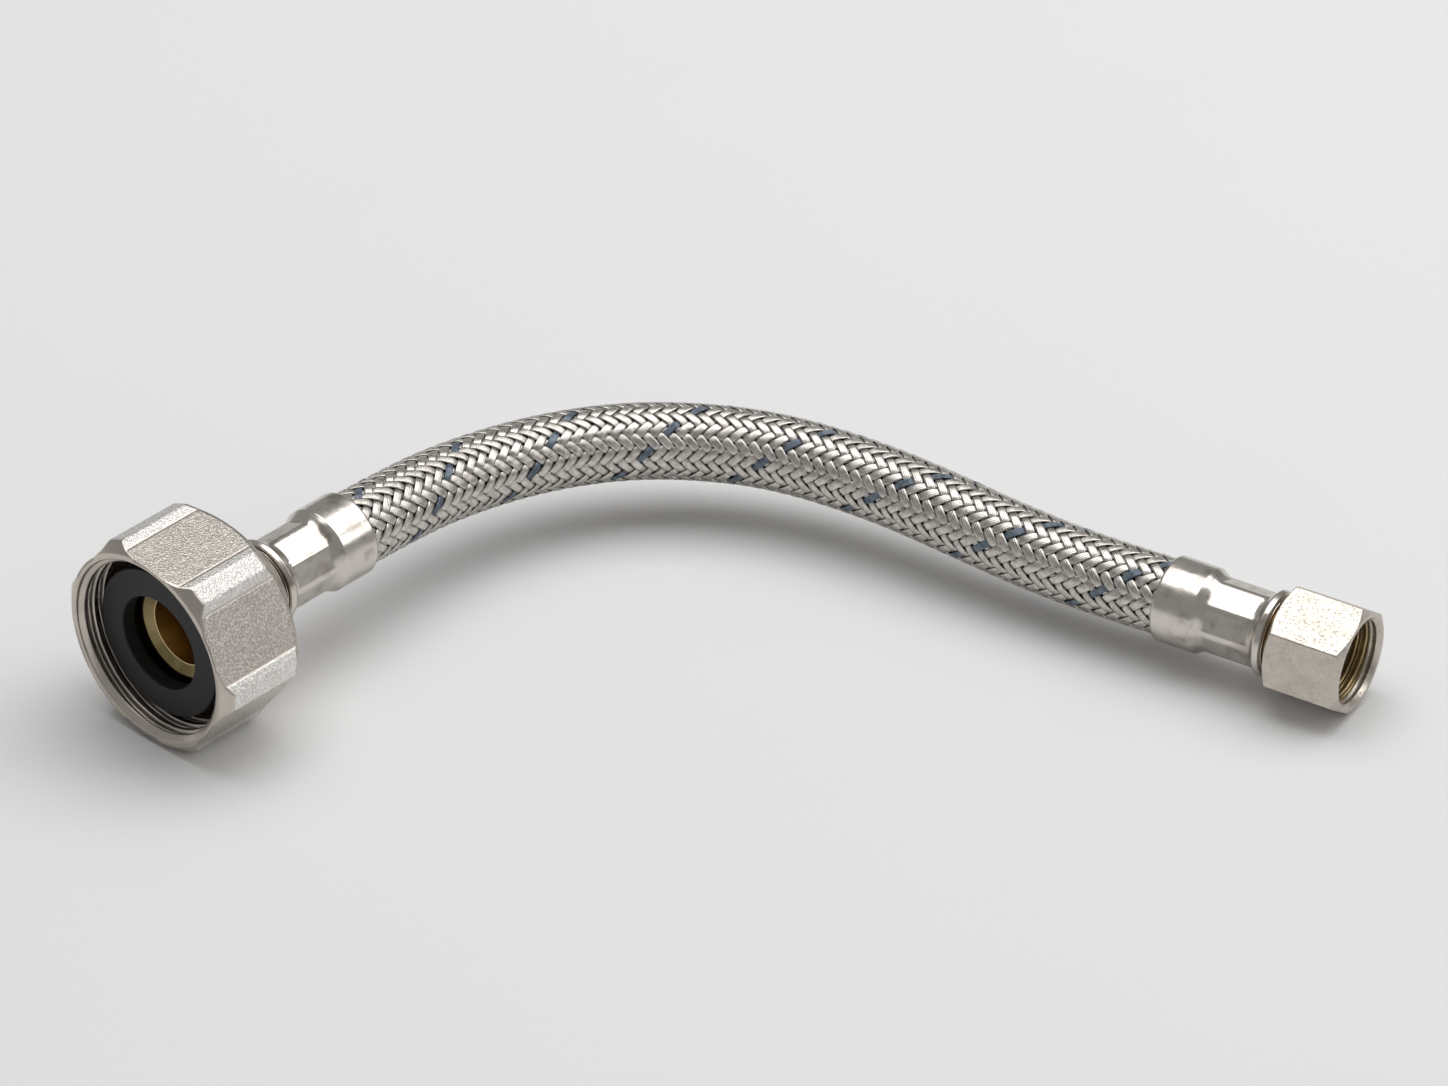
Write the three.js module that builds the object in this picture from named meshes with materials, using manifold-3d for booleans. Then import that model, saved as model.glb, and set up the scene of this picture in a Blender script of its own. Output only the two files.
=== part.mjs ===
// Braided supply line: a short flexible water connector. A stainless braid over a rubber tube joins two
// crimped fittings, each a barbed brass stem in a crimped ferrule, and each with a hexagonal swivel nut
// that spins and slides a little on its stem. Millimetres, +Z up, +X along the line, lying on z = 0.
// The origin is on the floor, under the centre of the box around the two end fittings.
import * as THREE from "three";
import { mergeVertices } from "three/addons/utils/BufferGeometryUtils.js";
import Module from "manifold-3d";

const wasm = await Module();
wasm.setup();

// ---- Driving dimensions ----

// Each end: the middle of its nut's open face, and the way its axis points from there towards the hose.
const LARGE_END = { mouth: [-89.38, -12.77, 17.18], azimuth: 47.3, tilt: -0.4 };
const SMALL_END = { mouth: [97.37, -5.17, 9.34], azimuth: 149.5, tilt: 0.7 };

// Route of the hose's centre between the two ferrule mouths.
const HOSE_ROUTE = [
  [-59.8, 19.2, 16.9], [-53.7, 26.0, 16.4], [-47.7, 32.5, 15.7], [-41.4, 38.0, 15.0],
  [-34.6, 42.6, 14.5], [-27.2, 46.2, 14.1], [-19.4, 48.8, 13.7], [-11.4, 50.1, 13.3],
  [-3.3, 50.1, 12.9], [4.8, 48.8, 12.6], [12.5, 46.3, 12.2], [19.9, 42.8, 11.8],
  [27.0, 38.7, 11.4], [33.6, 34.2, 11.0], [40.2, 29.6, 10.5], [46.8, 25.0, 10.1],
  [53.7, 20.5, 9.8], [60.8, 16.3, 9.7], [68.7, 11.7, 9.8],
];

const HOSE_SIDES = 12;
const HOSE_STEP = 7;
const BRAID = { outer: 6.25, inner: 5.55, intoFerrule: 5 };
const LINER = { outer: 5.0, inner: 4.05, intoFerrule: 16.6 };

// The ferrule is the same at both ends. Its stations run from the nut's side to the braid's.
const FERRULE = { length: 19.2, collar: 7.1, neckFlats: 8, neck: 6.25, sleeve: 7.05, sleeveBore: 6.6 };
const FERRULE_NECK = { start: 2.4, end: 10.4, sleeveStart: 12.6, bore: 5.35, lipBore: 4.9, lip: 1.8 };

// Barbed tail that both stems push into the liner.
const TAIL = { core: 3.25, barb: 3.6, bore: 2.6, barbs: 4, pitch: 3.4, shank: 4.5 };

const LARGE_NUT = { acrossFlats: 31.9, hexEnd: 17, length: 23.4, turnedBy: 6.5 };
const CORNER_RIB = { radius: 17.95, halfWidth: 1.55, foot: 3.0 };
const LARGE_THREAD = { mouth: 15.45, root: 15.4, crest: 14.8, start: 0.4, pitch: 2.1, turns: 3 };
const LARGE_FERRULE_AT = 24.4;
const WASHER = { outer: 12.6, hole: 7.9, front: 3.4, thickness: 2.6, aside: 0.7, drop: 0.7 };

const SMALL_NUT = { acrossFlats: 16.3, length: 13.1, cornerAngle: 97 };
const SMALL_RIM = { inner: 7.4, outer: 8.0, countersink: 0.7 };
const SMALL_THREAD = { mouth: 6.8, root: 7.05, crest: 6.4, start: 0.9, pitch: 1.5, turns: 4 };
const SMALL_FERRULE_AT = 14.1;
const CONE_WASHER = { hole: 4.2, tip: 4.9, base: 6.2, front: 5.2, length: 2.9 };

// ---- Materials ----

const finish = (color, roughness, metalness) =>
  new THREE.MeshStandardMaterial({ color, roughness, metalness });
const NICKEL = finish(0xc9c2b8, 0.32, 1);
const STEEL = finish(0xbfbdb9, 0.25, 1);
const BRAID_STEEL = finish(0xa9a9a7, 0.35, 1);
const BRASS = finish(0xb08a45, 0.3, 1);
const RUBBER = finish(0x1b1c1e, 0.75, 0);

// ---- Solid modelling helpers ----

const NUT_SIDES = 48;
const ROUND_SIDES = 36;
const radians = THREE.MathUtils.degToRad;

// A closed three.js geometry as a manifold solid.
function solid(geometry) {
  const bare = geometry.clone();
  bare.deleteAttribute("normal");
  bare.deleteAttribute("uv");
  const merged = mergeVertices(bare, 1e-4);
  const kept = [];
  for (let i = 0; i < merged.index.count; i += 3) {
    const [a, b, c] = [0, 1, 2].map((k) => merged.index.getX(i + k));
    if (a !== b && b !== c && c !== a) kept.push(a, b, c);
  }
  return new wasm.Manifold(
    new wasm.Mesh({
      numProp: 3,
      vertProperties: merged.attributes.position.array,
      triVerts: new Uint32Array(kept),
    }),
  );
}

// A manifold solid as a three.js mesh.
function meshOf(name, shape, material) {
  const { vertProperties, triVerts } = shape.getMesh();
  const geometry = new THREE.BufferGeometry();
  geometry.setAttribute("position", new THREE.BufferAttribute(new Float32Array(vertProperties), 3));
  geometry.setIndex(new THREE.BufferAttribute(new Uint32Array(triVerts), 1));
  const flat = geometry.toNonIndexed();
  flat.computeVertexNormals();
  const mesh = new THREE.Mesh(flat, material);
  mesh.name = name;
  return mesh;
}

// Turns a closed outline of [radius, station] points, given counter-clockwise, about the local Z axis.
function turned(outline, segments = ROUND_SIDES) {
  const points = [...outline, outline[0]].map(([r, z]) => new THREE.Vector2(r, z));
  return solid(new THREE.LatheGeometry(points, segments).rotateX(Math.PI / 2));
}

// A straight prism with the given [x, y] outline, from station z0 to z1.
function prism(outline, z0, z1) {
  const shape = new THREE.Shape(outline.map(([x, y]) => new THREE.Vector2(x, y)));
  const geometry = new THREE.ExtrudeGeometry(shape, { depth: z1 - z0, bevelEnabled: false });
  return solid(geometry.translate(0, 0, z0));
}

const polar = (radius, degrees) => [
  radius * Math.cos(radians(degrees)),
  radius * Math.sin(radians(degrees)),
];

function polygon(sides, cornerRadius, firstCorner = 0) {
  return Array.from({ length: sides }, (_, k) => polar(cornerRadius, firstCorner + (360 / sides) * k));
}

// ---- Nuts ----

// Hexagon whose corners are flat-topped ribs with sloping sides that rise a little from the flats.
function ribbedHexagon(acrossFlats, { radius, halfWidth, foot }, turnedBy) {
  const footRadius = (acrossFlats / 2 - foot * Math.sin(radians(30))) / Math.cos(radians(30));
  const corner = [[footRadius, -foot], [radius, -halfWidth], [radius, halfWidth], [footRadius, foot]];
  const centre = new THREE.Vector2();
  return Array.from({ length: 6 }, (_, k) =>
    corner.map(([x, y]) =>
      new THREE.Vector2(x, y).rotateAround(centre, radians(turnedBy + 60 * k)).toArray(),
    ),
  ).flat();
}

// Outline of an internal thread's grooves, from its first station inwards.
function threadGrooves({ root, crest, start, pitch, turns }) {
  const flank = pitch * 0.3;
  return Array.from({ length: turns }, (_, k) => {
    const z = start + k * pitch;
    return [[crest, z], [root, z + flank], [root, z + pitch - 2 * flank], [crest, z + pitch - flank]];
  }).flat();
}

function largeNut() {
  const { acrossFlats, hexEnd, length, turnedBy } = LARGE_NUT;
  const over = 19.5;
  const outline = ribbedHexagon(acrossFlats, CORNER_RIB, turnedBy);
  const body = prism(outline, 0, hexEnd);
  const chamfered = turned([
    [0, 0], [16.4, 0], [18.2, 2.3], [over, 3.2],
    [over, 14], [18.6, 14.6], [16.2, 16.7], [15.7, hexEnd], [0, hexEnd],
  ], NUT_SIDES);
  const rearHub = turned([
    [0, hexEnd - 1], [14.2, hexEnd - 1], [14.2, hexEnd],
    [10.4, 19.6], [8.6, 21.6], [7.8, length - 0.3], [7.5, length], [0, length],
  ], NUT_SIDES);
  const threadEnd = LARGE_THREAD.start + LARGE_THREAD.pitch * LARGE_THREAD.turns;
  const bore = turned([
    [0, -1], [LARGE_THREAD.mouth + 0.2, -1], [LARGE_THREAD.mouth, 0],
    ...threadGrooves(LARGE_THREAD),
    [LARGE_THREAD.crest, threadEnd], [14.6, threadEnd + 0.4], [14.6, 11.2],
    [6.9, 11.2], [6.9, length + 1], [0, length + 1],
  ], NUT_SIDES);
  return meshOf("large_nut", body.intersect(chamfered).add(rearHub).subtract(bore), NICKEL);
}

function smallNut() {
  const { acrossFlats, length, cornerAngle } = SMALL_NUT;
  const cornerRadius = acrossFlats / 2 / Math.cos(radians(30));
  const body = prism(polygon(6, cornerRadius, cornerAngle), 0, length);
  const chamfered = turned([
    [0, 0], [SMALL_RIM.outer, 0], [9.7, 1.05], [9.7, length - 1.05], [7.9, length], [0, length],
  ], NUT_SIDES);
  const threadEnd = SMALL_THREAD.start + SMALL_THREAD.pitch * SMALL_THREAD.turns;
  const bore = turned([
    [0, -1], [SMALL_RIM.inner, -1], [SMALL_RIM.inner, 0], [SMALL_THREAD.mouth, SMALL_RIM.countersink],
    ...threadGrooves(SMALL_THREAD),
    [SMALL_THREAD.crest, threadEnd], [6.9, threadEnd + 0.4], [6.9, 11.0],
    [4.9, 11.0], [4.9, length + 1], [0, length + 1],
  ], NUT_SIDES);
  return meshOf("small_nut", body.intersect(chamfered).subtract(bore), NICKEL);
}

// ---- Washers ----

// The flat washer lies loose in its nut, a little off the axis.
function flatWasher() {
  const { outer, hole, front, thickness, aside, drop } = WASHER;
  const back = front + thickness;
  const ring = turned([[hole, front], [outer, front], [outer, back], [hole, back]]);
  return meshOf("flat_washer", ring.translate([aside, -drop, 0]), RUBBER);
}

function coneWasher() {
  const { hole, tip, base, front, length } = CONE_WASHER;
  const back = front + length;
  return meshOf("cone_washer", turned([[hole, front], [tip, front], [base, back], [hole, back]]), RUBBER);
}

// ---- Stems ----

// Sawtooth outline of the barbed tail, from the ferrule's lip at station z towards the hose.
function barbs(z) {
  const { core, barb, barbs: count, pitch } = TAIL;
  return Array.from({ length: count }, (_, k) => {
    const at = z + k * pitch;
    return [[core, at], [barb, at + 0.2], [core, at + pitch - 0.2]];
  }).flat();
}

// The stem's shank passes the ferrule's lip, and its barbed tail lies inside the liner.
function tailOutline(ferruleAt) {
  const lipEnd = ferruleAt + FERRULE_NECK.lip + 0.2;
  const tailEnd = lipEnd + TAIL.barbs * TAIL.pitch + 0.6;
  return [[TAIL.shank, lipEnd], ...barbs(lipEnd), [TAIL.core, tailEnd], [TAIL.bore, tailEnd]];
}

function largeStem() {
  const nose = [[7.75, 6.9], [8.1, 6.9], [8.1, 7.6]];
  const flange = [[12.8, 7.6], [12.8, 9.8]];
  const neck = [[6.4, 9.8], [6.4, LARGE_FERRULE_AT - 0.5], [TAIL.shank, LARGE_FERRULE_AT - 0.5]];
  const waterway = [[TAIL.bore, 17], [5.9, 12.5], [5.9, 7.0], [6.5, 7.0]];
  const outline = [...nose, ...flange, ...neck, ...tailOutline(LARGE_FERRULE_AT), ...waterway];
  return meshOf("large_stem", turned(outline), BRASS);
}

function smallStem() {
  const nose = [[TAIL.bore, 5.6], [3.9, 5.6], [3.9, 8.4]];
  const flange = [[6.3, 8.4], [6.3, 9.6]];
  const neck = [[TAIL.shank, 9.6]];
  const outline = [...nose, ...flange, ...neck, ...tailOutline(SMALL_FERRULE_AT)];
  return meshOf("small_stem", turned(outline), BRASS);
}

// ---- Ferrules ----

function ferrule(name, at) {
  const { length, collar, neckFlats, neck, sleeve, sleeveBore } = FERRULE;
  const { start, end, sleeveStart, bore, lipBore, lip } = FERRULE_NECK;
  const collarRing = turned([
    [4, 0], [6.2, 0], [collar - 0.2, 0.4], [collar, 1.1],
    [collar - 0.6, 1.8], [5.7, start + 0.6], [4, start + 0.6],
  ]);
  const crimpedNeck = prism(polygon(neckFlats, neck, 22.5), start, end + 0.4);
  const braidSleeve = turned([
    [4, end], [5.9, end], [6.3, end + 0.6], [sleeve - 0.2, sleeveStart - 0.4],
    [sleeve, sleeveStart + 0.2], [sleeve, length - 0.4], [sleeve - 0.25, length], [4, length],
  ]);
  const hollow = turned([
    [0, -1], [lipBore, -1], [lipBore, lip], [bore, lip],
    [bore, end + 0.4], [sleeveBore, sleeveStart], [sleeveBore, length + 1], [0, length + 1],
  ]);
  const shape = collarRing.add(crimpedNeck).add(braidSleeve).subtract(hollow);
  return meshOf(name, shape.translate([0, 0, at]), STEEL);
}

// ---- Hose ----

// Unit vector from a nut's open face towards the hose.
function axisOf({ azimuth, tilt }) {
  const level = Math.cos(radians(tilt));
  const [x, y] = polar(level, azimuth);
  return new THREE.Vector3(x, y, Math.sin(radians(tilt)));
}

// A ring-shaped section drawn along the hose's route, reaching straight into both ferrules.
function hoseTube(name, { outer, inner, intoFerrule }, material) {
  const route = HOSE_ROUTE.map((p) => new THREE.Vector3(...p));
  const largeSide = route[0].clone().addScaledVector(axisOf(LARGE_END), -intoFerrule);
  const smallSide = route.at(-1).clone().addScaledVector(axisOf(SMALL_END), -intoFerrule);
  const path = new THREE.CatmullRomCurve3([largeSide, ...route, smallSide]);
  const section = new THREE.Shape(polygon(HOSE_SIDES, outer).map(([x, y]) => new THREE.Vector2(x, y)));
  section.holes.push(new THREE.Path(polygon(HOSE_SIDES, inner).map(([x, y]) => new THREE.Vector2(x, y))));
  const steps = Math.round(path.getLength() / HOSE_STEP);
  const tube = solid(new THREE.ExtrudeGeometry(section, { steps, extrudePath: path, bevelEnabled: false }));
  return meshOf(name, tube, material);
}

// ---- Assembly ----

// A group whose local +Z runs from a nut's open face towards the hose, and whose local +Y is up.
function endFitting(end, meshes) {
  const axis = axisOf(end);
  const across = new THREE.Vector3(0, 0, 1).cross(axis).normalize();
  const upward = axis.clone().cross(across);
  const group = new THREE.Group();
  group.quaternion.setFromRotationMatrix(new THREE.Matrix4().makeBasis(across, upward, axis));
  group.position.set(...end.mouth);
  group.add(...meshes);
  return group;
}

const supplyLine = new THREE.Group();
const largeFerrule = ferrule("large_ferrule", LARGE_FERRULE_AT);
const smallFerrule = ferrule("small_ferrule", SMALL_FERRULE_AT);
supplyLine.add(
  endFitting(LARGE_END, [largeNut(), flatWasher(), largeStem(), largeFerrule]),
  endFitting(SMALL_END, [smallNut(), coneWasher(), smallStem(), smallFerrule]),
  hoseTube("braid_sleeve", BRAID, BRAID_STEEL),
  hoseTube("inner_tube", LINER, RUBBER),
);

export default supplyLine;
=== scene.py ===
"""Braided supply line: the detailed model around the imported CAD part. Metres, except where a name or
comment says millimetres: the pieces are described in millimetres and placed in metres."""

import math

import bmesh
import bpy
import numpy as np
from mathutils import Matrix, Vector


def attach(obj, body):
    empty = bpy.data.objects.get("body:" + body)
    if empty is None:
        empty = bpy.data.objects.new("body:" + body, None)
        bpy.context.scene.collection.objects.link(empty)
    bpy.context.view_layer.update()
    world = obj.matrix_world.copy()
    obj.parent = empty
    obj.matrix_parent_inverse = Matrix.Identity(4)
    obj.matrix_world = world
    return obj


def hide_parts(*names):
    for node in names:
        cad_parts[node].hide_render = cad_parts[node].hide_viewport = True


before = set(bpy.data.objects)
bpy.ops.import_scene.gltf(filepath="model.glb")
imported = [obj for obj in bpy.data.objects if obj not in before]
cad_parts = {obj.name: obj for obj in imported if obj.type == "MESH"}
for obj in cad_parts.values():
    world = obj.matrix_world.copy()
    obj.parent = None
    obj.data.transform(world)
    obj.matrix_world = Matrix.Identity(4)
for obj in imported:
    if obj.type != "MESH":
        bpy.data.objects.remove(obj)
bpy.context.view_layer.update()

MM = 0.001
SEED = 7

# ---- Driving dimensions, in millimetres ----

# Each end: the middle of its nut's open face, and the way its axis points from there towards the hose.
LARGE_MOUTH, LARGE_AXIS = (-89.38, -12.77, 17.18), (47.3, -0.4)
SMALL_MOUTH, SMALL_AXIS = (97.37, -5.17, 9.34), (149.5, 0.7)

# Route of the hose's centre between the two ferrule mouths, in metres.
HOSE_ROUTE = [
    (-0.0598, 0.0192, 0.0169), (-0.0537, 0.0260, 0.0164), (-0.0477, 0.0325, 0.0157),
    (-0.0414, 0.0380, 0.0150), (-0.0346, 0.0426, 0.0145), (-0.0272, 0.0462, 0.0141),
    (-0.0194, 0.0488, 0.0137), (-0.0114, 0.0501, 0.0133), (-0.0033, 0.0501, 0.0129),
    (0.0048, 0.0488, 0.0126), (0.0125, 0.0463, 0.0122), (0.0199, 0.0428, 0.0118),
    (0.0270, 0.0387, 0.0114), (0.0336, 0.0342, 0.0110), (0.0402, 0.0296, 0.0105),
    (0.0468, 0.0250, 0.0101), (0.0537, 0.0205, 0.0098), (0.0608, 0.0163, 0.0097),
    (0.0687, 0.0117, 0.0098),
]
INTO_FERRULE = 4.0

# The braid: flat strands of fine wire in two families, each strand over two and under two of the other.
STRANDS = 18
LEAD = 42.0
BRAID_RADIUS = 5.95
LINER_OUTER, LINER_INNER = 5.55, 4.1
BRAID_RELIEF = 0.22
STRAND_WIDTH = 1.4
STRAND_THICKNESS = 0.22
STRAND_STEP = 0.34
TRACERS = (0, 9)
TRACER_WIDTH = 1.15
TRACER_AT = 16.9
TRACER_ANGLE = -55.0
ROW_ANGLE = 3.0
WIRES = 5

# Large nut: a hexagon with a flat-topped rib at each corner, then a shoulder that narrows to the stem.
FLATS = 31.9
RIB_RADIUS, RIB_HALF_WIDTH, RIB_FOOT = 17.95, 1.55, 3.0
LARGE_NUT_TURN = 6.5
LARGE_HEX_END, LARGE_NUT_LENGTH = 17.0, 23.4
LARGE_THREAD_ROOT, LARGE_THREAD_CREST, LARGE_RIM = 15.4, 14.5, 15.5

# Small nut: a plain hexagon.
SMALL_FLATS, SMALL_NUT_LENGTH = 16.3, 13.1
SMALL_NUT_CORNER = 97.0
SMALL_THREAD_ROOT, SMALL_THREAD_CREST, SMALL_RIM = 7.0, 6.3, 7.5

# Flat washer: its outer and hole radius, its two faces' stations, and how far it lies off the nut's axis.
WASHER_OUTER, WASHER_HOLE = 12.6, 7.9
WASHER_FRONT, WASHER_BACK = 3.4, 6.0
WASHER_SHIFT = (0.7, -0.7)

# Stems: the waterway's radius in each, and the barbs that grip the hose.
LARGE_WATERWAY, TAIL_BORE = 5.9, 2.6
BARBS, BARB_PITCH, BARB_ROOT, BARB_TIP = 4, 3.4, 3.25, 3.6

# Ferrules: the station of each one's front, and the sizes of both.
LARGE_FERRULE_AT = 24.4
SMALL_FERRULE_AT = 14.1
NECK_CORNER, FERRULE_LENGTH = 6.3, 19.1

# Camera: its place in metres, and how many degrees it looks down.
CAMERA_PLACE = (-0.0009, -0.9099, 0.6655)
CAMERA_LOOKS_DOWN = 35


# ---- Ring-shaped pieces ----


def end_frame(mouth, azimuth, tilt):
    """The place of an end fitting: its origin, and its across, up and along directions as rows."""
    az, el = math.radians(azimuth), math.radians(tilt)
    axis = Vector((math.cos(el) * math.cos(az), math.cos(el) * math.sin(az), math.sin(el)))
    across = Vector((0, 0, 1)).cross(axis).normalized()
    return np.array(mouth), np.array([across, axis.cross(across), axis])


LARGE_END = end_frame(LARGE_MOUTH, *LARGE_AXIS)
SMALL_END = end_frame(SMALL_MOUTH, *SMALL_AXIS)


def make_mesh(name, points, faces, material, marks=None):
    """A smooth-shaded object from points in metres. marks are per-point numbers for the materials."""
    mesh = bpy.data.meshes.new(name)
    mesh.from_pydata(points.tolist(), [], faces.tolist())
    for key, values in (marks or {}).items():
        layer = mesh.attributes.new(key, "FLOAT", "POINT")
        layer.data.foreach_set("value", np.ascontiguousarray(values, dtype=np.float32).ravel())
    mesh.polygons.foreach_set("use_smooth", [True] * len(mesh.polygons))
    mesh.materials.append(material)
    piece = bpy.data.objects.new(name, mesh)
    bpy.context.scene.collection.objects.link(piece)
    return piece


def grid_faces(columns, rows, start=0, wrap_columns=True):
    """Quads of a grid whose rows close on themselves, and whose columns do too when wrap_columns."""
    c, k = np.meshgrid(np.arange(columns if wrap_columns else columns - 1), np.arange(rows), indexing="ij")
    c2, k2 = (c + 1) % columns, (k + 1) % rows
    corners = [c * rows + k, c2 * rows + k, c2 * rows + k2, c * rows + k2]
    return start + np.stack(corners, -1).reshape(-1, 4)


def angles(columns):
    """Evenly spaced angles round the axis, one row each."""
    return np.linspace(0, 2 * math.pi, columns, endpoint=False)[:, None]


def ring_piece(name, end, radius, station, material, marks=None, shift=(0.0, 0.0)):
    """A closed ring round an end's axis, shifted across and up. Column c, row k lies at radius[c, k],
    station[c, k]."""
    origin, basis = end
    columns, rows = radius.shape
    area = np.sum(radius[0] * np.roll(station[0], -1) - np.roll(radius[0], -1) * station[0])
    if area < 0:
        radius, station = radius[:, ::-1], station[:, ::-1]
        marks = {key: values[:, ::-1] for key, values in (marks or {}).items()}
    turn = angles(columns)
    local = np.stack([radius * np.cos(turn) + shift[0], radius * np.sin(turn) + shift[1], station], -1)
    points = (origin + local.reshape(-1, 3) @ basis) * MM
    piece = make_mesh(name, points, grid_faces(columns, rows), material, marks)
    piece.modifiers.new("normals", "WEIGHTED_NORMAL").keep_sharp = True
    return piece


def filleted(outline, steps=4):
    """A closed outline of (radius, station, fillet) corners, each cut back to a small curve."""
    out = []
    for i, (r, z, fillet) in enumerate(outline):
        corner = np.array((r, z))
        before, after = np.array(outline[i - 1][:2]), np.array(outline[(i + 1) % len(outline)][:2])
        arms = []
        for other in (before, after):
            span = np.linalg.norm(other - corner)
            arms.append(corner + (other - corner) * min(fillet / span, 0.45))
        if fillet == 0:
            out.append(corner)
            continue
        for u in np.linspace(0, 1, steps + 1):
            out.append((1 - u) ** 2 * arms[0] + 2 * u * (1 - u) * corner + u**2 * arms[1])
    return np.array(out)


def turned(name, end, outline, material, columns=180, shift=(0.0, 0.0), marks=None):
    """A turned piece with small fillets. outline holds (radius, station, fillet) corners, and each of the
    marks is a function of radius and station."""
    profile = filleted(outline)
    radius = np.tile(profile[:, 0], (columns, 1))
    station = np.tile(profile[:, 1], (columns, 1))
    values = {key: mark(radius, station) for key, mark in (marks or {}).items()}
    return ring_piece(name, end, radius, station, material, values, shift)


def cross(p, q):
    return p[..., 0] * q[..., 1] - p[..., 1] * q[..., 0]


def polar_outline(corners, turn):
    """Distance from the centre to a star-shaped outline of (x, y) corners, in each direction."""
    corners = np.array(corners)
    at = np.arctan2(corners[:, 1], corners[:, 0]) % (2 * math.pi)
    order = np.argsort(at)
    corners, at = corners[order], at[order]
    turn = turn % (2 * math.pi)
    i = np.searchsorted(at, turn) % len(at)
    b, a = corners[i], corners[i - 1]
    ray = np.stack([np.cos(turn), np.sin(turn)], -1)
    return cross(a, b - a) / cross(ray, b - a)


def softened(corners, turn, width_degrees):
    """polar_outline with its corners rounded over the given width."""
    offsets = np.radians(np.linspace(-width_degrees / 2, width_degrees / 2, 7))
    return np.mean([polar_outline(corners, turn + o) for o in offsets], axis=0)


def smooth_min(a, b, blend):
    h = np.clip(0.5 + 0.5 * (b - a) / blend, 0, 1)
    return b * (1 - h) + a * h - blend * h * (1 - h)


def smooth_max(a, b, blend):
    return -smooth_min(-a, -b, blend)


def regular(sides, corner_radius, first_degrees):
    turn = np.radians(first_degrees + 360 / sides * np.arange(sides))
    return np.stack([corner_radius * np.cos(turn), corner_radius * np.sin(turn)], -1)


def thread(turn, station, root, crest, start, pitch, end):
    """Radius of an internal thread's wall: a helix of sloping ridges that fades out at both ends."""
    u = (station - start) / pitch - turn / (2 * math.pi)
    wave = 0.5 - 0.5 * np.cos(2 * math.pi * u)
    groove = np.clip(1.9 * wave - 0.45, 0, 1)
    fade = np.clip((end - station) / 0.6, 0, 1)
    return crest + (root - crest) * groove * fade


# ---- Materials ----


class Graph:
    """A node material, with short calls that add and wire its shader nodes."""

    def __init__(self, name, metallic, roughness):
        self.material = bpy.data.materials.new(name)
        self.material.use_nodes = True
        self.nodes = self.material.node_tree.nodes
        self.links = self.material.node_tree.links
        self.shader = self.nodes["Principled BSDF"]
        self.set("Metallic", metallic)
        self.set("Roughness", roughness)

    def feed(self, socket, value):
        if isinstance(value, bpy.types.NodeSocket):
            self.links.new(value, socket)
        else:
            socket.default_value = value

    def set(self, name, value):
        self.feed(self.shader.inputs[name], value)

    def where(self, stretch=(1, 1, 1)):
        """Position on the piece in millimetres, stretched."""
        node = self.nodes.new("ShaderNodeMapping")
        self.links.new(self.nodes.new("ShaderNodeTexCoord").outputs["Object"], node.inputs["Vector"])
        node.inputs["Scale"].default_value = [s / MM for s in stretch]
        return node.outputs["Vector"]

    def mark(self, name):
        node = self.nodes.new("ShaderNodeAttribute")
        node.attribute_name = name
        return node.outputs["Fac"]

    def noise(self, size, detail=3.0, rough=0.55, stretch=(1, 1, 1)):
        """Cloudy noise whose blotches are about size millimetres."""
        node = self.nodes.new("ShaderNodeTexNoise")
        self.feed(node.inputs["Vector"], self.where(stretch))
        self.feed(node.inputs["Scale"], 1 / size)
        self.feed(node.inputs["Detail"], detail)
        self.feed(node.inputs["Roughness"], rough)
        return node.outputs["Fac"]

    def calc(self, operation, a, b=0.0):
        node = self.nodes.new("ShaderNodeMath")
        node.operation = operation
        for socket, value in zip(node.inputs, (a, b)):
            self.feed(socket, value)
        return node.outputs[0]

    def spread(self, value, low, high, to_low=0.0, to_high=1.0):
        """value from low..high to to_low..to_high, held at both ends."""
        node = self.nodes.new("ShaderNodeMapRange")
        for socket, number in zip(node.inputs, (value, low, high, to_low, to_high)):
            self.feed(socket, number)
        return node.outputs[0]

    def mix(self, share, a, b):
        """Colour a where share is 0 and colour b where it is 1."""
        node = self.nodes.new("ShaderNodeMix")
        node.data_type = "RGBA"
        for socket, value in zip((node.inputs[0], node.inputs[6], node.inputs[7]), (share, a, b)):
            colour = value
            if isinstance(value, tuple):
                colour = (*value, 1)
            self.feed(socket, colour)
        return node.outputs[2]

    def bump(self, height, depth):
        """Relief of depth millimetres where height goes from 0 to 1."""
        node = self.nodes.new("ShaderNodeBump")
        self.feed(node.inputs["Height"], height)
        self.feed(node.inputs["Distance"], depth * MM)
        return node.outputs["Normal"]


NICKEL = (0.60, 0.54, 0.475)
BRASS = (0.78, 0.60, 0.33)


def blasted_nickel():
    """Plated nut: smooth satin turned faces, coarse blasted flats, and a finer bright grain on the ribs."""
    g = Graph("nut_blasted_nickel", 1.0, 0.3)
    flat, rib = g.mark("flat"), g.mark("rib")
    grain = g.noise(0.34, detail=2.5, rough=0.6)
    speckle = g.spread(grain, 0.44, 0.60)
    cloud = g.spread(g.noise(3.2), 0.35, 0.65)
    plain = g.mix(cloud, NICKEL, (0.53, 0.485, 0.435))
    blasted = g.mix(speckle, (0.46, 0.42, 0.375), (0.74, 0.70, 0.645))
    bright = g.mix(speckle, (0.68, 0.65, 0.61), (0.93, 0.915, 0.885))
    g.set("Base Color", g.mix(rib, g.mix(flat, plain, blasted), bright))
    either = g.calc("MAXIMUM", flat, rib)
    smooth = g.spread(g.noise(0.6), 0.3, 0.7, 0.27, 0.36)
    g.set("Roughness", g.calc("ADD", smooth, g.calc("MULTIPLY", either, 0.06)))
    relief = g.calc("MULTIPLY", grain, g.spread(either, 0, 1, 0.05, 1.0))
    g.set("Normal", g.bump(relief, 0.22))
    return g.material


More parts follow.
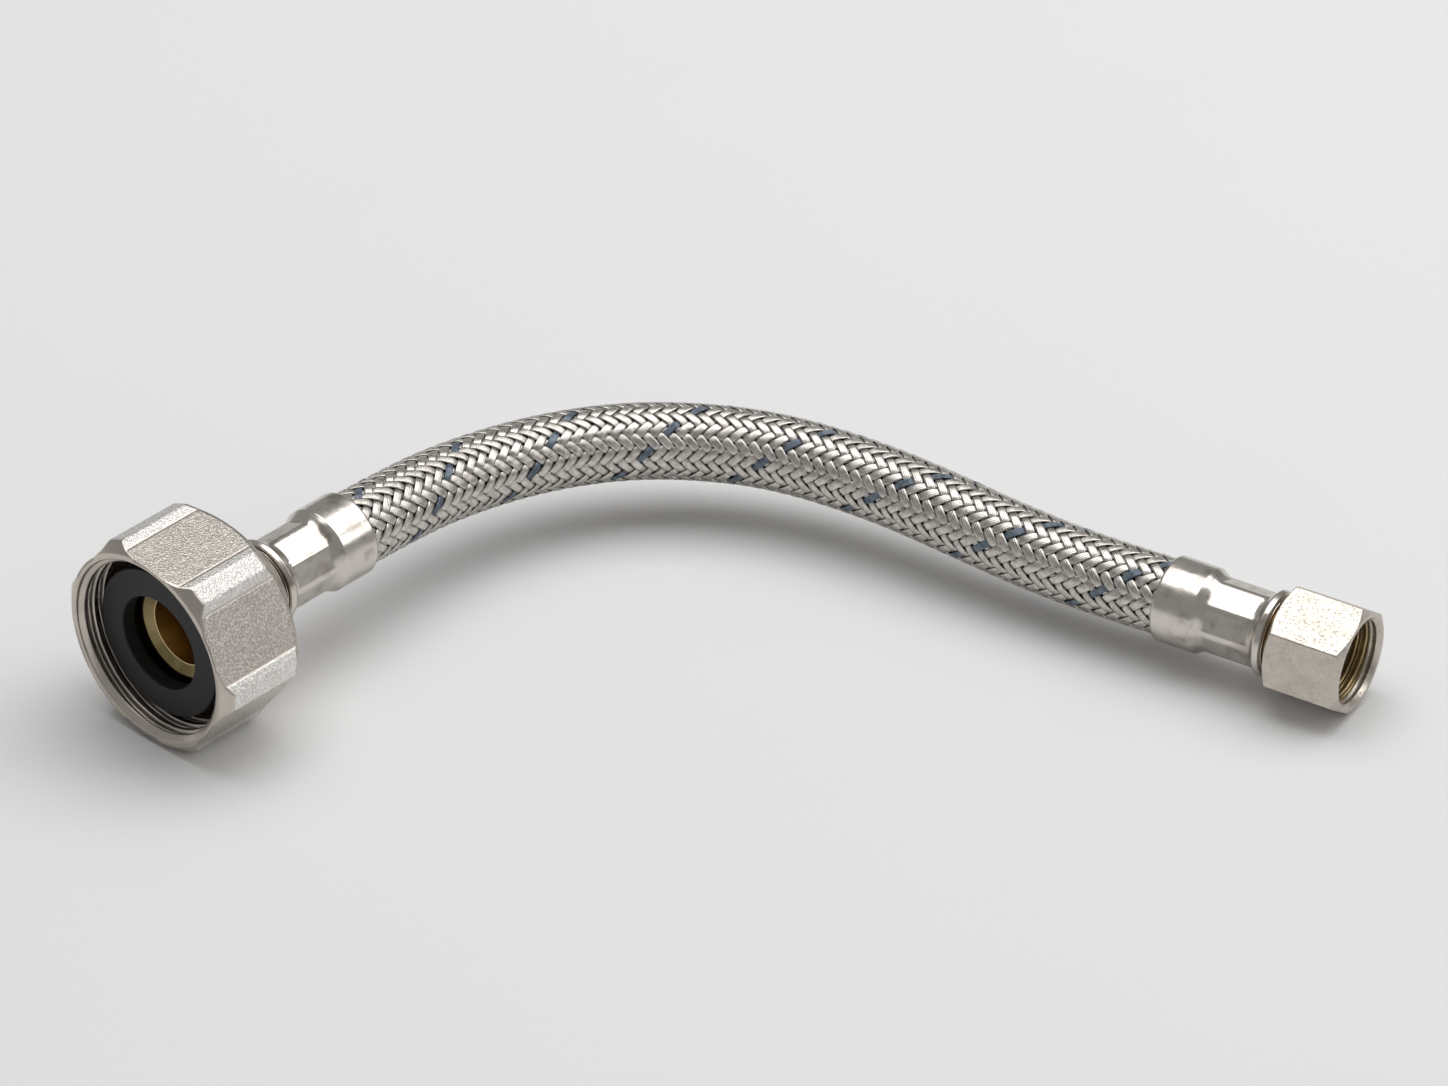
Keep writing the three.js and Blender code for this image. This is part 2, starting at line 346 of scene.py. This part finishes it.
def satin_nickel():
    """Plated small nut: fine pits and faint drag lines, with bare brass threads inside."""
    g = Graph("nut_satin_nickel", 1.0, 0.3)
    inside = g.mark("inside")
    pits = g.spread(g.noise(0.42, detail=3.0), 0.30, 0.42)
    cloud = g.spread(g.noise(2.0), 0.35, 0.65)
    plated = g.mix(cloud, (0.59, 0.545, 0.485), (0.51, 0.465, 0.41))
    g.set("Base Color", g.mix(inside, plated, (0.46, 0.36, 0.20)))
    g.set("Roughness", g.spread(g.noise(0.5), 0.3, 0.7, 0.27, 0.38))
    relief = g.calc("ADD", g.calc("MULTIPLY", pits, 0.6), g.calc("MULTIPLY", g.noise(0.25), 0.4))
    g.set("Normal", g.bump(relief, 0.05))
    return g.material


def bright_steel():
    """Crimped ferrule: mirror-satin with soft streaks drawn along it and blotches at the crimps."""
    g = Graph("ferrule_steel", 1.0, 0.2)
    streak = g.noise(0.8, stretch=(0.5, 0.5, 0.5))
    stain = g.spread(g.noise(3.0, detail=2.0), 0.50, 0.70)
    g.set("Base Color", g.mix(stain, (0.64, 0.60, 0.55), (0.42, 0.38, 0.33)))
    g.set("Roughness", g.spread(streak, 0.3, 0.7, 0.17, 0.28))
    g.set("Normal", g.bump(g.noise(2.2, detail=1.0), 0.03))
    return g.material


def turned_brass():
    """Stem: turned brass, bright at the lip. The dark olive on the outer faces round it (countersink, nose,
    flange and neck) is painted shade for the shadow behind the washer and in the gap before the ferrule, and
    the dark brown down the bore is painted shade in the deep hole.
    """
    g = Graph("stem_brass", 1.0, 0.3)
    cloud = g.spread(g.noise(2.5, detail=2.0), 0.35, 0.65)
    # Painted shade: dark olive brass on the outer faces marked cone, which lie in shadow behind the washer
    # and in the gap before the ferrule.
    cone = g.mix(cloud, (0.22, 0.17, 0.08), (0.32, 0.25, 0.125))
    bright = g.mix(g.mark("cone"), BRASS, cone)
    # Painted shade: dark brown down the bore, deeper than the lip.
    g.set("Base Color", g.mix(g.mark("bore_painted_shade"), bright, (0.36, 0.235, 0.09)))
    g.set("Roughness", g.spread(cloud, 0, 1, 0.28, 0.38))
    g.set("Normal", g.bump(g.noise(0.3), 0.01))
    return g.material


def black_rubber(name, colour, sheen):
    g = Graph(name, 0.0, 0.6)
    mottle = g.noise(0.8, detail=4.0)
    darker = tuple(0.6 * c for c in colour)
    g.set("Base Color", g.mix(g.spread(mottle, 0.35, 0.65), darker, colour))
    g.set("Roughness", g.spread(mottle, 0.3, 0.7, sheen, sheen + 0.15))
    g.set("Normal", g.bump(g.noise(0.35), 0.05))
    return g.material


def strand_metal():
    """Flat strand of fine wires side by side: fine ridges along it, each wire a little different, and
    painted shade in the creases between the wires.
    """
    g = Graph("braid_wire", 1.0, 0.3)
    across = g.mark("across")
    wire = g.calc("ABSOLUTE", g.calc("SINE", g.calc("MULTIPLY", across, WIRES * math.pi / 2)))
    shade = g.noise(0.9, detail=3.0)
    light = g.mix(g.spread(shade, 0.35, 0.65), (0.50, 0.47, 0.43), (0.77, 0.735, 0.685))
    # Painted shade: dark lines in the creases between the wires, where the ridges dip to nothing.
    g.set("Base Color", g.mix(g.spread(wire, 0.0, 0.35, 1.0, 0.0), light, (0.20, 0.18, 0.155)))
    g.set("Roughness", g.spread(shade, 0.3, 0.7, 0.24, 0.36))
    g.set("Normal", g.bump(wire, 0.018))
    return g.material


def tracer_plastic():
    """Blue monofilament strand that marks the braid."""
    g = Graph("braid_tracer_blue", 0.6, 0.35)
    wire = g.calc("ABSOLUTE", g.calc("SINE", g.calc("MULTIPLY", g.mark("across"), WIRES * math.pi / 2)))
    shade = g.spread(g.noise(0.9), 0.35, 0.65)
    g.set("Base Color", g.mix(shade, (0.09, 0.12, 0.155), (0.22, 0.265, 0.315)))
    g.set("Normal", g.bump(wire, 0.05))
    return g.material


# ---- Nuts ----


def ribbed_hexagon():
    """Corners of the large nut's outline: flats that rise to a flat-topped rib at each corner."""
    foot = (FLATS / 2 - RIB_FOOT * 0.5) / math.cos(math.radians(30))
    corner = [(foot, -RIB_FOOT), (RIB_RADIUS, -RIB_HALF_WIDTH), (RIB_RADIUS, RIB_HALF_WIDTH),
              (foot, RIB_FOOT)]
    out = []
    for k in range(6):
        turn = math.radians(60 * k + LARGE_NUT_TURN)
        c, s = math.cos(turn), math.sin(turn)
        out += [(x * c - y * s, x * s + y * c) for x, y in corner]
    return out


def dense(low, high, spacing):
    return np.linspace(low, high, max(2, round(abs(high - low) / spacing) + 1))


def repeated(profile, columns):
    """The same profile in every column of a ring."""
    return np.tile(profile, (columns, 1))


def large_nut():
    turn = angles(600)
    outline = softened(ribbed_hexagon(), turn, 1.1)
    outer_z = np.concatenate([dense(0.0, 3.0, 0.13), dense(3.6, 13.6, 1.2),
                              dense(14.2, LARGE_HEX_END, 0.14)])
    limit = np.interp(outer_z, [0, 1.6, 3.2, 14, 14.6, 16.7, LARGE_HEX_END],
                      [16.4, 18.2, 19.5, 19.5, 18.6, 16.2, 15.7])
    outer = smooth_min(outline, limit[None], 0.2)
    rear = filleted([(14.2, LARGE_HEX_END, 0.3), (10.4, 19.6, 0.8), (8.6, 21.6, 0.8), (7.8, 23.1, 0.3),
                     (7.4, LARGE_NUT_LENGTH, 0.1), (6.9, 23.2, 0.1), (6.9, 11.2, 0.2), (14.6, 11.2, 0.1)])
    bore_z = np.concatenate([[10.0, 8.0, 7.2], dense(6.8, 0.1, 0.13)])
    ridges = thread(turn, bore_z[None], LARGE_THREAD_ROOT, LARGE_THREAD_CREST, start=1.2, pitch=2.1, end=6.7)
    countersink = np.interp(bore_z, [0, 0.9], [LARGE_RIM, LARGE_THREAD_CREST])
    bore = np.where(bore_z > 6.6, 14.8, np.maximum(ridges, countersink))
    lip = np.array([(LARGE_RIM, 0.02), (15.58, -0.02), (16.3, -0.02)])
    columns = len(turn)
    rear_radius, lip_radius = repeated(rear[:, 0], columns), repeated(lip[:, 0], columns)
    radius = np.concatenate([outer, rear_radius, bore, lip_radius], axis=1)
    station = repeated(np.concatenate([outer_z, rear[:, 1], bore_z, lip[:, 1]]), columns)
    nearest = (turn - math.radians(LARGE_NUT_TURN - 30)) % math.radians(60) - math.radians(30)
    offset = np.abs(outline * np.sin(nearest))
    on_hexagon = np.clip((limit[None] - outline) / 0.3 - 0.8, 0, 1)
    blank = np.zeros((columns, radius.shape[1] - outer.shape[1]))
    flat = on_hexagon * np.clip((offset - RIB_FOOT) / 0.25, 0, 1)
    rib = on_hexagon * np.clip((RIB_FOOT - 0.1 - offset) / 0.2, 0, 1)
    marks = {"flat": np.concatenate([flat, blank], axis=1), "rib": np.concatenate([rib, blank], axis=1)}
    piece = ring_piece("large_nut_shell", LARGE_END, radius, station, blasted_nickel(), marks)
    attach(piece, "large_swivel")
    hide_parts("large_nut")


def small_nut():
    turn = angles(540)
    hexagon = regular(6, SMALL_FLATS / 2 / math.cos(math.radians(30)), SMALL_NUT_CORNER)
    outline = softened(hexagon, turn, 1.6)
    outer_z = np.concatenate([dense(0.0, 1.4, 0.07), dense(1.8, 11.3, 1.3),
                              dense(11.7, SMALL_NUT_LENGTH, 0.07)])
    limit = np.interp(outer_z, [0, 1.05, 1.2, 11.9, 12.05, SMALL_NUT_LENGTH],
                      [8.0, 9.7, 10.2, 10.2, 9.7, 7.9])
    outer = smooth_min(outline, limit[None], 0.12)
    rear = filleted([(7.7, 13.15, 0.1), (4.9, 13.15, 0.25), (4.9, 11.0, 0.15), (6.9, 11.0, 0.1)])
    bore_z = np.concatenate([[10.0, 8.6, 7.4], dense(7.0, 0.08, 0.11)])
    ridges = thread(turn, bore_z[None], SMALL_THREAD_ROOT, SMALL_THREAD_CREST, start=1.7, pitch=1.4, end=6.9)
    mouth = np.interp(bore_z, [0, 0.7, 0.8, 1.0, 1.6, 1.8],
                      [SMALL_RIM, 6.8, 6.8, 7.15, 7.15, SMALL_THREAD_CREST])
    bore = np.where(bore_z > 6.9, 6.9, np.where(bore_z < 1.8, mouth, ridges))
    lip = np.array([(SMALL_RIM, 0.02), (7.55, -0.01), (7.95, -0.01)])
    columns = len(turn)
    rear_radius, lip_radius = repeated(rear[:, 0], columns), repeated(lip[:, 0], columns)
    radius = np.concatenate([outer, rear_radius, bore, lip_radius], axis=1)
    station = repeated(np.concatenate([outer_z, rear[:, 1], bore_z, lip[:, 1]]), columns)
    inside = np.clip((station - 1.7) / 0.2, 0, 1) * (radius < 7.2)
    piece = ring_piece("small_nut_shell", SMALL_END, radius, station, satin_nickel(), {"inside": inside})
    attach(piece, "small_swivel")
    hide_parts("small_nut")


# ---- Washers and stems ----


def washers():
    rubber = black_rubber("washer_rubber", (0.014, 0.0145, 0.016), 0.52)
    flat = turned("flat_washer_ring", LARGE_END,
                  [(WASHER_HOLE, WASHER_FRONT, 0.25), (WASHER_OUTER, WASHER_FRONT, 0.3),
                   (WASHER_OUTER, WASHER_BACK, 0.3), (WASHER_HOLE, WASHER_BACK, 0.25)], rubber,
                  shift=WASHER_SHIFT)
    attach(flat, "large_washer")
    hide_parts("flat_washer")
    cone = turned("cone_washer_ring", SMALL_END,
                  [(4.2, 5.2, 0.15), (4.9, 5.2, 0.2), (6.2, 8.1, 0.2), (4.2, 8.1, 0.1)], rubber)
    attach(cone, "small_washer")
    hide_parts("cone_washer")


def tail(at):
    """Outline of a stem's barbed tail and bore, from the ferrule's lip inwards."""
    z = at + 2.0
    out = [(4.5, z, 0.1)]
    for k in range(BARBS):
        barb = z + BARB_PITCH * k
        out += [(BARB_ROOT, barb, 0.1), (BARB_TIP, barb + 0.2, 0.1), (BARB_ROOT, barb + 3.2, 0.1)]
    return out + [(BARB_ROOT, z + 14.2, 0.2), (TAIL_BORE, z + 14.2, 0.2)]


def stems():
    brass = turned_brass()
    marks = {
        # The first mark picks the outer faces that get painted shade; the second picks the bore past the
        # lip, which gets painted shade too.
        "cone": lambda radius, station: np.clip((radius - 6.14) / 0.06, 0, 1),
        "bore_painted_shade": lambda radius, station: np.clip((station - 7.75) / 0.3, 0, 1) * (radius < 5.95),
    }
    large = [(7.7, 6.9, 0.1), (8.1, 6.9, 0.15), (8.1, 7.6, 0.05), (12.8, 7.6, 0.2), (12.8, 9.8, 0.3),
             (6.4, 9.8, 0.3), (6.4, LARGE_FERRULE_AT - 0.5, 0.1), (4.5, LARGE_FERRULE_AT - 0.5, 0.1)]
    waterway = [(TAIL_BORE, 17, 0.4), (LARGE_WATERWAY, 12.5, 0.4), (LARGE_WATERWAY, 7.65, 0.06),
                (6.1, 7.6, 0.04), (6.2, 7.75, 0.04)]
    small = [(TAIL_BORE, 5.6, 0.2), (3.9, 5.6, 0.3), (3.9, 8.4, 0.1), (6.3, 8.4, 0.2), (6.3, 9.6, 0.2),
             (4.5, 9.6, 0.2)]
    large_outline = large + tail(LARGE_FERRULE_AT) + waterway
    small_outline = small + tail(SMALL_FERRULE_AT)
    for name, end, outline, node, slot in (
        ("large_stem_turned", LARGE_END, large_outline, "large_stem", "large_stem_brass"),
        ("small_stem_turned", SMALL_END, small_outline, "small_stem", "small_stem_brass"),
    ):
        piece = turned(name, end, outline, brass, marks=marks)
        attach(piece, "hose")
        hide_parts(node)


# ---- Ferrules ----


def ferrule(name, end, at, node, steel):
    """Crimped ferrule: round collar, eight-sided neck pressed into it, and the sleeve round the braid."""
    turn = angles(360)
    z = np.concatenate([dense(0.1, 3.4, 0.1), dense(3.6, 9.8, 0.5), dense(10.1, 13.6, 0.11),
                        dense(14.0, 18.6, 0.6), dense(18.7, FERRULE_LENGTH, 0.1)])
    round_part = np.interp(
        z,
        [0.1, 0.4, 1.1, 1.4, 1.8, 2.2, 2.8, 3.4, 9.8, 10.4, 11.8, 12.4, 18.8, FERRULE_LENGTH],
        [6.5, 6.9, 7.08, 6.95, 6.5, 6.1, 5.75, 5.0, 5.0, 5.7, 6.7, 7.03, 7.05, 6.88],
    )
    octagon = softened(regular(8, NECK_CORNER, 0.0), turn, 11.0)
    neck = np.where((z > 1.0) & (z < 12.6), 1.0, 0.0)
    outer = smooth_max(octagon * neck, round_part[None], 0.5)
    inner = filleted([(6.35, FERRULE_LENGTH, 0.15), (6.35, 12.6, 0.2), (5.35, 10.8, 0.2), (5.35, 1.8, 0.2),
                      (4.9, 1.8, 0.1), (4.9, 0.0, 0.2), (6.3, 0.0, 0.2)])
    radius = np.concatenate([outer, repeated(inner[:, 0], len(turn))], axis=1)
    station = repeated(np.concatenate([z, inner[:, 1]]) + at, len(turn))
    piece = ring_piece(name, end, radius, station, steel)
    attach(piece, "hose")
    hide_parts(node)


# ---- Hose ----


def hose_line():
    """Stations every half millimetre along the hose, and its centre, top and side directions there."""
    route = [np.array(p) / MM for p in HOSE_ROUTE]
    first, last = -LARGE_END[1][2], -SMALL_END[1][2]
    knots = [route[0] + first * INTO_FERRULE, *route, route[-1] + last * INTO_FERRULE]
    knots = [2 * knots[0] - knots[1], *knots, 2 * knots[-1] - knots[-2]]
    points = []
    for a, b, c, d in zip(knots, knots[1:], knots[2:], knots[3:]):
        for u in np.linspace(0, 1, 40, endpoint=False):
            points.append(0.5 * (2 * b + (c - a) * u + (2 * a - 5 * b + 4 * c - d) * u**2
                                 + (3 * b - a - 3 * c + d) * u**3))
    points = np.array(points + [knots[-2]])
    length = np.concatenate([[0], np.cumsum(np.linalg.norm(np.diff(points, axis=0), axis=1))])
    at = np.arange(0, length[-1], 0.5)
    centre = np.stack([np.interp(at, length, points[:, k]) for k in range(3)], -1)
    kernel = np.hanning(13) / np.hanning(13).sum()
    padded = np.concatenate([centre[:1] + (centre[0] - centre[1]) * np.arange(6, 0, -1)[:, None], centre,
                             centre[-1:] + (centre[-1] - centre[-2]) * np.arange(1, 7)[:, None]])
    centre = np.stack([np.convolve(padded[:, k], kernel, "valid") for k in range(3)], -1)
    ahead = np.gradient(centre, axis=0)
    ahead /= np.linalg.norm(ahead, axis=1)[:, None]
    top = np.array([0, 0, 1.0]) - ahead[:, 2:] * ahead
    top /= np.linalg.norm(top, axis=1)[:, None]
    side = np.cross(top, ahead)
    side *= np.sign(side[len(side) // 2, 1])
    return at, centre, top, side


def on_hose(line, station, angle, radius):
    """Points round the hose's centre, in metres. Angle 0 is the top, and it grows towards the back."""
    at, centre, top, side = line
    pick = lambda values: np.stack([np.interp(station, at, values[:, k]) for k in range(3)], -1)
    arm = np.cos(angle)[..., None] * pick(top) + np.sin(angle)[..., None] * pick(side)
    return (pick(centre) + radius[..., None] * arm) * MM


def braid_family(name, line, direction, members, material, rng, strand_width=STRAND_WIDTH):
    """Flat strands that wind one way round the hose. Rows of floats lie along the hose at fixed angles."""
    length = line[0][-1]
    station = np.arange(0, length, STRAND_STEP)
    winding = 2 * math.pi / LEAD
    start_a = math.radians(TRACER_ANGLE) - winding * (TRACER_AT + INTO_FERRULE)
    crossing = math.radians(ROW_ANGLE) + math.pi / STRANDS / 2
    start = start_a if direction > 0 else 2 * crossing - start_a
    slope = math.atan(winding * BRAID_RADIUS)
    crown = [(w, 0.5 - 0.32 * w * w) for w in np.linspace(-1, 1, 7)]
    section = crown + [(0.9, -0.4), (0.0, -0.5), (-0.9, -0.4)]
    points, faces, across = [], [], []
    for member in members:
        angle = start + direction * (winding * station) + member * 2 * math.pi / STRANDS
        row = (angle - math.radians(ROW_ANGLE)) * STRANDS / math.pi
        float_height = direction * np.tanh(1.9 * np.cos(math.pi * row / 2)) / math.tanh(1.9)
        drift = np.interp(station, np.arange(0, length + 6, 3), rng.normal(0, 0.045, int(length / 3) + 3))
        width = strand_width / 2 * (0.92 + 0.08 * float_height)
        grid = []
        for w, lift in section:
            aside = w * width + drift
            s = station - direction * aside * math.sin(slope)
            a = angle + aside * math.cos(slope) / BRAID_RADIUS
            r = BRAID_RADIUS + BRAID_RELIEF * float_height + STRAND_THICKNESS * lift
            grid.append(on_hose(line, s, a, r))
        first = len(points) * len(station) * len(section)
        faces.append(grid_faces(len(station), len(section), first, False))
        points.append(np.stack(grid, 1).reshape(-1, 3))
        across.append(np.tile([w for w, _ in section], len(station)))
    return make_mesh(name, np.concatenate(points), np.concatenate(faces), material,
                     {"across": np.concatenate(across)})


def liner(line):
    """Black inner hose, seen between the strands."""
    station = np.arange(0, line[0][-1], 1.5)
    turn = np.linspace(0, 2 * math.pi, 36, endpoint=False)
    s, a = np.meshgrid(station, turn, indexing="ij")
    rings = [on_hose(line, s, a, np.full(s.shape, r)) for r in (LINER_OUTER, LINER_INNER)]
    count = len(turn)
    body = grid_faces(len(station), count, 0, False)
    inside = grid_faces(len(station), count, s.size, False)[:, ::-1]
    k = np.arange(count)
    caps = []
    for base, flip in ((0, 1), (s.size - count, -1)):
        k2 = (k + 1) % count
        cap = np.stack([base + k, base + s.size + k, base + s.size + k2, base + k2], -1)
        caps.append(cap[:, ::flip])
    points = np.concatenate([ring.reshape(-1, 3) for ring in rings])
    return make_mesh("hose_liner", points, np.concatenate([body, inside, *caps]),
                     black_rubber("hose_rubber", (0.012, 0.012, 0.013), 0.55))


def face_outwards(piece):
    """Turns a closed mesh's faces to point out."""
    mesh = bmesh.new()
    mesh.from_mesh(piece.data)
    bmesh.ops.recalc_face_normals(mesh, faces=mesh.faces)
    mesh.to_mesh(piece.data)
    mesh.free()


def hose():
    line = hose_line()
    rng = np.random.default_rng(SEED)
    steel, blue = strand_metal(), tracer_plastic()
    plain = [k for k in range(STRANDS) if k not in TRACERS]
    wires = braid_family("braid_wires", line, 1, plain, steel, rng)
    counter = braid_family("braid_wires_counter", line, -1, range(STRANDS), steel, rng)
    tracers = braid_family("braid_tracers", line, 1, TRACERS, blue, rng, TRACER_WIDTH)
    core = liner(line)
    for piece, slot in (
        (wires, "braid_steel"), (counter, "braid_steel"), (tracers, "braid_steel"), (core, "liner_rubber"),
    ):
        face_outwards(piece)
        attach(piece, "hose")
    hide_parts("braid_sleeve")
    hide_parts("inner_tube")
    path = [tuple(p * MM) for p in line[1][::4]]


# ---- Camera, light and floor ----


def camera():
    """Looks down at the floor point under the middle of the frame, with a long lens."""
    data = bpy.data.cameras.new("camera")
    data.lens, data.sensor_width = 180, 36
    data.clip_start, data.clip_end = 0.05, 50
    eye = bpy.data.objects.new("camera", data)
    eye.location = CAMERA_PLACE
    eye.rotation_euler = (math.radians(90 - CAMERA_LOOKS_DOWN), 0, 0)
    bpy.context.scene.collection.objects.link(eye)
    bpy.context.scene.camera = eye


def softbox(name, place, size, power, target=None):
    """A rectangular light. It faces straight down unless it is aimed at a target."""
    data = bpy.data.lights.new(name, "AREA")
    data.shape, data.size, data.size_y = "RECTANGLE", *size
    data.energy = power
    lamp = bpy.data.objects.new(name, data)
    lamp.location = place
    if target:
        lamp.rotation_euler = (Vector(target) - Vector(place)).to_track_quat("-Z", "Y").to_euler()
    bpy.context.scene.collection.objects.link(lamp)


def studio():
    g = Graph("floor_paper", 0.0, 0.9)
    g.set("Base Color", g.mix(g.noise(40.0), (0.80, 0.80, 0.80), (0.79, 0.79, 0.79)))
    g.set("Specular IOR Level", 0.1)
    corners = np.array([(-6, -6, 0), (6, -6, 0), (6, 6, 0), (-6, 6, 0)], float)
    floor = make_mesh("floor", corners, np.array([[0, 1, 2, 3]]), g.material)
    world = bpy.data.worlds.new("studio")
    world.use_nodes = True
    world.node_tree.nodes["Background"].inputs["Color"].default_value = (1, 1, 1, 1)
    world.node_tree.nodes["Background"].inputs["Strength"].default_value = 0.32
    bpy.context.scene.world = world
    softbox("top_softbox", (0.55, 0.42, 1.6), (2.7, 1.4), 28)
    softbox("side_softbox", (1.6, -0.15, 0.85), (0.6, 0.6), 2.8, target=(0, 0.02, 0))
    bpy.context.scene.view_settings.view_transform = "Standard"


def main():
    camera()
    hose()
    steel = bright_steel()
    ferrule("large_ferrule_crimped", LARGE_END, LARGE_FERRULE_AT, "large_ferrule",
            steel)
    ferrule("small_ferrule_crimped", SMALL_END, SMALL_FERRULE_AT, "small_ferrule",
            steel)
    large_nut()
    small_nut()
    washers()
    stems()
    studio()


main()
